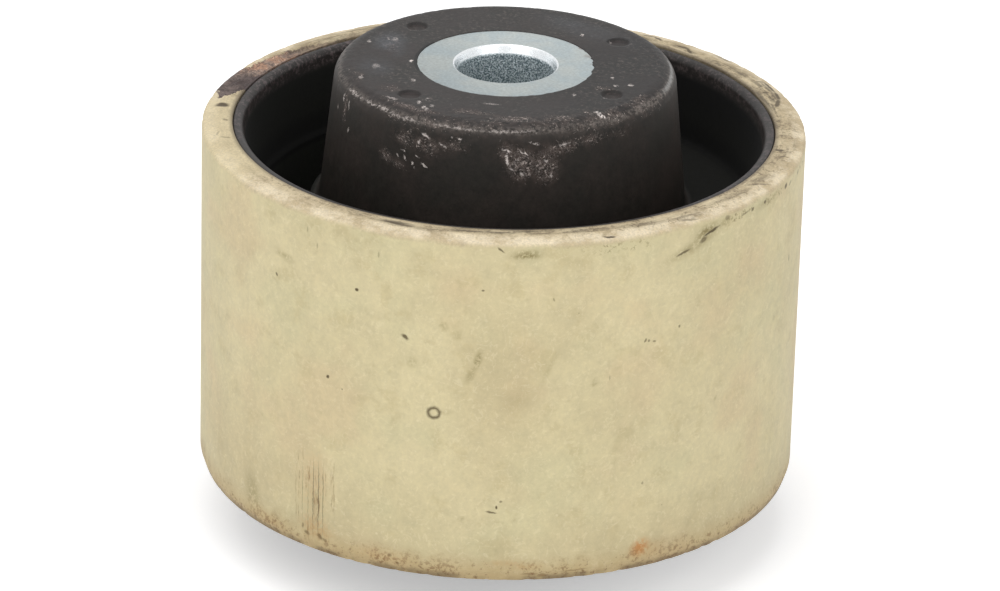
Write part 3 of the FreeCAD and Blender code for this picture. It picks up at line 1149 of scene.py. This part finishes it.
chalk_dots = (
    # x, y, half length, half width, tilt, strength
    (-7.65, -6.67, 0.36, 0.16, -50, 1.0),
    (-13.1, -3.05, 0.6, 0.3, -50, 0.35),
    (-13.73, -3.4, 0.4, 0.18, -50, 0.28),
    (-14.76, -5.46, 0.36, 0.2, -50, 0.6),
    (-3.87, -10.63, 0.34, 0.22, -50, 0.55),
    (-8.41, -13.83, 0.36, 0.2, -50, 0.4),
    (-9.37, -10.37, 0.6, 0.36, -50, 0.3),
    (0.7, -14.84, 0.34, 0.2, -50, 0.7),
    (1.99, -15.52, 0.36, 0.2, -50, 0.7),
    (2.57, -15.72, 0.36, 0.22, -50, 0.8),
    (0.74, -13.62, 0.4, 0.18, -50, 0.5),
    (2.41, -14.73, 0.3, 0.18, -50, 0.5),
    (-2.1, -15.98, 0.6, 0.22, 0, 0.45),
    (0.61, 12.01, 0.4, 0.18, -50, 0.95),
    (10.96, 4.61, 0.3, 0.18, -50, 0.6),
    (12.72, 3.15, 0.34, 0.2, -50, 0.8),
    (13.69, 4.47, 0.3, 0.24, -50, 0.75),
    (11.15, -1.93, 0.34, 0.16, -50, 0.5),
    (3.93, 12.77, 0.3, 0.16, -50, 0.5),
    (5.21, 12.4, 0.34, 0.16, 40, 0.45),
    (14.13, -0.22, 0.4, 0.2, 40, 0.35),
    (6.58, -9.9, 0.9, 0.2, 30, 0.35),
)


def moulded_rubber():
    """Black rubber, brownish and dusty on its end, scuffed pale round the boss's upper edge."""
    material, point = new_material("moulded_rubber")
    radius, angle = round_position(point)
    height = point.part(2)
    cloud = point.noise(5.0, 4.0, 0.6)
    fine = point.noise(0.9, 4.0, 0.65)
    grit = point.noise(0.42, 4.0, 0.75)
    upper = height.step(core_top - 0.9, core_top - 0.1)

    # Ground colours, and painted shade over the groove and voids
    colour = cloud.step(0.35, 0.65).blend(tone(44, 38, 34), tone(36, 33, 29))
    top = cloud.step(0.35, 0.65).blend(tone(49, 43, 41), tone(41, 39, 36))
    # painted shade: the end's colour is darker towards its right, against the lamps' reflection
    # there
    top = top.shade(0.82 - angle.band(-5.0, 60.0, 30.0) * 0.28)
    colour = upper.blend(colour, top)
    level = (height - mid_height).math("ABSOLUTE") + mid_height
    shaded_groove = radius.step(boss_root_r + 0.03, boss_root_r + 0.93)
    shaded_groove *= level.step(lip_top - 0.7, lip_top - 2.0)
    # painted shade on the groove's walls, darkest high up, less of it on the left wall and below
    # the web
    wall = level.step(web_top + 2.5, lip_top - 2.5).blend(tone(19, 19, 16), tone(9, 9, 8))
    wall = wall.over(angle.step(-90.0, -150.0) * 0.45, tone(28, 29, 24))
    deep = level.step(web_top - 0.2, web_top - 1.0)
    wall = wall.over(deep, tone(32, 33, 28))
    colour = colour.over(shaded_groove, wall)
    # a dark sheet of painted shade over the ledge at the lining's root
    ledge = radius.step(lining_root_r - 0.8, lining_root_r - 0.5)
    ledge = ledge * level.step(web_top + 3.4, web_top + 1.6) * (1 - deep)
    colour = colour.over(ledge, tone(12, 12, 10))

    ragged = point.wander(0.40, 4.0, 0.7).shade(0.9)
    side = join(angle * np.radians(boss_side_r), height, 0.0).vector("ADD", ragged)
    end = join(point.part(0), point.part(1), 0.0).vector("ADD", ragged)
    boss = radius.step(boss_root_r + 0.93, boss_root_r + 0.33)
    boss *= height.step(mid_height, mid_height + 1.0)

    # Chalk: a thin film, veins and crumbs where the mesh or the boss's edge says so
    flecks = point.noise(0.30, 5.0, 0.75, 0.6)
    threads = point.noise(0.55, 3.0, 0.7, 1.6)
    edge = radius.band(boss_top_r - 1.5, boss_top_r + 0.2, 0.6)
    edge = edge * height.step(core_top - 2.1, core_top - 0.6) * angle.band(-118.0, 12.0, 25.0)
    edge *= cloud.step(0.36, 0.60)
    chalk = point.field("chalk").either(edge * 0.52)
    crumbs = (flecks + chalk * 0.10).step(0.63, 0.70) * chalk.step(0.05, 0.35)
    veins = ((threads - 0.5).math("ABSOLUTE") * 16.0).step(0.65, 0.1) * chalk.step(0.25, 0.7)
    film = chalk * fine.step(0.38, 0.66) * 0.26
    dusty = grit.step(0.50, 0.66) * cloud.step(0.40, 0.60) * upper
    colour = colour.over(dusty * 0.30, tone(112, 100, 96))
    colour = colour.over(film, tone(132, 114, 106))
    colour = colour.over(veins * 0.40, tone(156, 144, 138))
    colour = colour.over(crumbs * 0.85, tone(196, 182, 174))

    # Worn edge with a painted highlight, a painted glint, haze and single strokes
    worn = height.band(core_top - 0.9, core_top - 0.5, 0.35)
    worn = worn * radius.band(boss_top_r - 1.1, boss_top_r - 0.3, 0.3) * boss
    # the worn band is partly wear and partly a painted highlight, stronger on the left and right of
    # the shoulder
    highlight_sides = angle.band(10.0, 110.0, 15.0) + angle.band(-215.0, -150.0, 12.0)
    worn *= 0.40 + highlight_sides * 0.30
    colour = colour.over(worn * grit.step(0.40, 0.56), tone(120, 112, 106))
    # painted glint along the boss's right shoulder
    shoulder_glint = height.band(core_top - 0.75, core_top - 0.5, 0.2)
    shoulder_glint *= radius.band(boss_top_r - 1.0, boss_top_r - 0.4, 0.3)
    shoulder_glint = shoulder_glint * angle.band(26.0, 46.0, 8.0) * boss
    colour = colour.over(shoulder_glint * 0.70, tone(150, 150, 148))
    colour = colour.over(point.field("haze") * cloud.step(0.25, 0.6), tone(92, 96, 102))
    strokes = side.spots(chalk_strokes, np.radians(boss_side_r), 0.45)
    strokes *= radius.step(boss_top_r - 2.2, boss_top_r - 1.8)
    strokes = strokes.either(end.spots(chalk_dots, 1.0, 0.45) * upper)
    strokes = strokes.either(point.specks(2.6, 0.13, 0.08, 3.0) * boss * 0.7)
    strokes = strokes.either(point.specks(1.2, 0.10, 0.20, 7.0) * upper * 0.45)
    torn_up = (flecks + grit.swing(0.6)).step(0.42, 0.52)
    colour = colour.over(strokes * boss * torn_up, tone(218, 208, 202))

    # Gate marks with painted shade on their walls, and a painted shadow in the gap beside the
    # plated tube
    gate = point.field("gate")
    colour = colour.over(gate * 0.40, tone(50, 41, 39))
    # painted shade on the gate dimple's wall
    gate_wall_shade = gate.band(0.25, 0.75, 0.2) * grit.step(0.40, 0.54)
    colour = colour.over(gate_wall_shade * 0.75, tone(20, 17, 16))
    # painted shadow in the narrow gap at the tube's left
    gap_shadow = radius.band(core_r - 0.2, core_r + 0.28, 0.12) * angle.band(-172.0, -126.0, 8.0) * upper
    colour = colour.over(gap_shadow, tone(10, 9, 8))

    # Lip, dust on it with a painted highlight at the left and right, and the seam to the ring
    lip = radius.step(lip_r - 0.6, lip_r) * level.step(lip_top - 2.2, lip_top - 1.0)
    colour = colour.over(lip * 0.8, tone(44, 40, 38))
    # pale dust that is also a painted highlight on the lip's left and right
    dust_and_highlight = angle.band(-206.0, -134.0, 14.0).either(angle.band(-10.0, 90.0, 20.0) * 0.6)
    dust_and_highlight *= (grit + fine.swing(0.6)).step(0.47, 0.64)
    dust_and_highlight *= radius.step(lip_r - 0.9, lip_r - 0.2)
    dust_and_highlight *= height.step(lip_top - 1.9, lip_top - 0.8)
    colour = colour.over(dust_and_highlight * 0.55, tone(104, 92, 92))
    seam = radius.step(ring_bore_r - 0.25, ring_bore_r - 0.05)
    colour = colour.over(seam * 0.9, tone(20, 18, 17))
    lively = (grit - 0.5) * (1.0 + upper * 0.7) + (flecks - 0.5) * upper * 1.2
    colour = colour.shade(1.0 + lively + fine.swing(0.9))

    rough = 0.52 + fine.swing(0.16) - lip * 0.06 + chalk * 0.14 + shaded_groove * 0.44
    bump = fine * 0.35 + grit * 0.22 + crumbs * 0.5 + veins * 0.2 + threads * chalk * 0.8
    finish_surface(material, colour, rough, bump, 0.5, 0.10, specular_ior_level=0.28)
    return material


def zinc_plating():
    """Pale blue-grey zinc: fine grain on the ends, darker and sparkling inside the bore."""
    material, point = new_material("zinc_plating")
    radius, angle = round_position(point)
    height = point.part(2)
    cloud = point.noise(3.5, 3.0, 0.6)
    fine = point.noise(0.30, 3.0, 0.7)
    sparkle = point.noise(0.17, 3.0, 0.75)
    inside = radius.step(bore_r + 0.12, bore_r + 0.02)
    flare_highlight = radius.band(bore_r + 0.10, bore_r + 0.42, 0.08)
    flare_highlight *= height.step(mid_height, mid_height + 1.0)
    colour = cloud.step(0.35, 0.65).blend(tone(177, 183, 181), tone(168, 178, 180))
    # Painted light towards 130 degrees and painted shade towards 220
    x, y = point.part(0), point.part(1)
    sin_40, cos_40 = 0.643, 0.766
    lit_behind = y * cos_40 - x * sin_40
    shaded_leftward = (x * -cos_40 - y * sin_40).step(0.0, 9.0, 0.13)
    colour = colour.shade(1.03 + lit_behind * 0.010 - shaded_leftward + fine.swing(0.85))
    # painted shade inside the bore, with pale painted glints for its sparkle
    bore = sparkle.step(0.42, 0.62).blend(tone(88, 108, 114), tone(226, 235, 238))
    colour = inside.blend(colour, bore)
    # painted highlight round the bore's upper mouth
    colour = colour.over(flare_highlight * (0.62 + fine * 0.6), tone(242, 245, 247))
    stain = point.noise(1.1, 4.0, 0.7).step(0.56, 0.66) * radius.step(core_r - 1.1, core_r - 0.1)
    stain *= angle.band(12.0, 72.0, 12.0) * 0.7 + 0.3
    colour = colour.over(stain * 0.55, tone(122, 98, 84))
    rough = 0.46 + fine.swing(0.3) - flare_highlight * 0.18
    metal = 0.8 - inside * 0.45
    bump = fine * 0.35 + sparkle * (0.25 + inside * 1.2)
    finish_surface(material, colour, rough, bump, 0.6, 0.06, metallic=metal)
    return material


# Pieces ------------------------------------------------------------------------------------

make_ring(cream_plastic())
make_rubber(moulded_rubber())
make_core(zinc_plating())


# Studio ------------------------------------------------------------------------------------

def pale_floor(lift):
    """Wide matt white floor at the object's foot.

    The camera sees it lifted towards plain white, with the object's shadow kept.
    """
    material = bpy.data.materials.new("studio_floor")
    start = emptied(material)
    paint = start.node("ShaderNodeBsdfDiffuse", None, {"Color": (0.92, 0.92, 0.92, 1.0)})
    seen = start.node("ShaderNodeLightPath", None, None, "Is Camera Ray")
    glow = start.node("ShaderNodeEmission", None, {"Color": (1, 1, 1, 1), "Strength": seen * lift})
    both = start.node("ShaderNodeAddShader", None, {0: paint, 1: glow})
    start.node("ShaderNodeOutputMaterial", None, {"Surface": both})
    mesh = bpy.data.meshes.new("studio_floor")
    reach = 3.0
    corners = [(-reach, -reach, 0), (reach, -reach, 0), (reach, reach, 0), (-reach, reach, 0)]
    mesh.from_pydata(corners, [], [(0, 1, 2, 3)])
    mesh.materials.append(material)
    add_object("studio_floor", mesh)


def studio_world(level):
    """Soft even light of this level; the camera, gloss and glass see plain white."""
    world = bpy.data.worlds.new("studio")
    bpy.context.scene.world = world
    start = emptied(world)
    rays = start.node("ShaderNodeLightPath", None, None, "Is Camera Ray")
    seen = rays.either(rays.sibling("Is Glossy Ray")).either(rays.sibling("Is Transmission Ray"))
    strength = seen * (1.0 - level) + level
    light = start.node("ShaderNodeBackground", None, {"Color": (1, 1, 1, 1), "Strength": strength})
    start.node("ShaderNodeOutputWorld", None, {"Surface": light})


def soft_lamp(name, direction, elevation, distance, size, power):
    """Square area lamp at an azimuth and elevation from the object's middle, facing it."""
    lamp = bpy.data.lights.new(name, "AREA")
    lamp.shape = "SQUARE"
    lamp.size = size
    lamp.energy = power
    turn, rise = np.radians(direction), np.radians(elevation)
    back = np.array([np.cos(turn) * np.cos(rise), np.sin(turn) * np.cos(rise), np.sin(rise)])
    side = np.array([-np.sin(turn), np.cos(turn), 0.0])
    up = np.cross(back, side)
    middle = np.array([0, 0, mid_height * MM])
    pose = np.eye(4)
    pose[:3] = np.stack([side, up, back, middle + back * distance], axis=1)
    add_object(name, lamp).matrix_world = Matrix(pose.tolist())


def view_camera(position, azimuth, pitch, roll, lens):
    """Camera at a position and with a lens in millimetres.

    It is turned left from +Y by an azimuth, down by a pitch and over by a roll, in degrees.
    """
    turn, dip, lean = np.radians([azimuth, pitch, roll])
    ahead = np.array([-np.sin(turn) * np.cos(dip), np.cos(turn) * np.cos(dip), -np.sin(dip)])
    right = np.array([np.cos(turn), np.sin(turn), 0.0])
    up = np.cross(right, ahead)
    x = np.cos(lean) * right + np.sin(lean) * up
    y = -np.sin(lean) * right + np.cos(lean) * up
    pose = np.eye(4)
    pose[:3] = np.stack([x, y, -ahead, np.array(position) * MM], axis=1)
    camera = bpy.data.cameras.new("view")
    camera.lens = lens
    camera.sensor_width = 36.0
    camera.clip_start = 0.01
    holder = add_object("view", camera)
    holder.matrix_world = Matrix(pose.tolist())
    bpy.context.scene.camera = holder


pale_floor(lift=0.40)
studio_world(level=0.62)
soft_lamp("overhead", direction=-140, elevation=80, distance=0.8, size=0.7, power=1.9)
soft_lamp("front_left", direction=-85, elevation=34, distance=0.8, size=0.6, power=1.15)
soft_lamp("front_right", direction=-10, elevation=34, distance=0.8, size=0.6, power=1.0)
view_camera(position=(365.27, -435.31, 278.13),
            azimuth=39.993, pitch=23.983, roll=1.581, lens=205.33)
bpy.context.scene.view_settings.view_transform = "Standard"

bpy.context.view_layer.update()
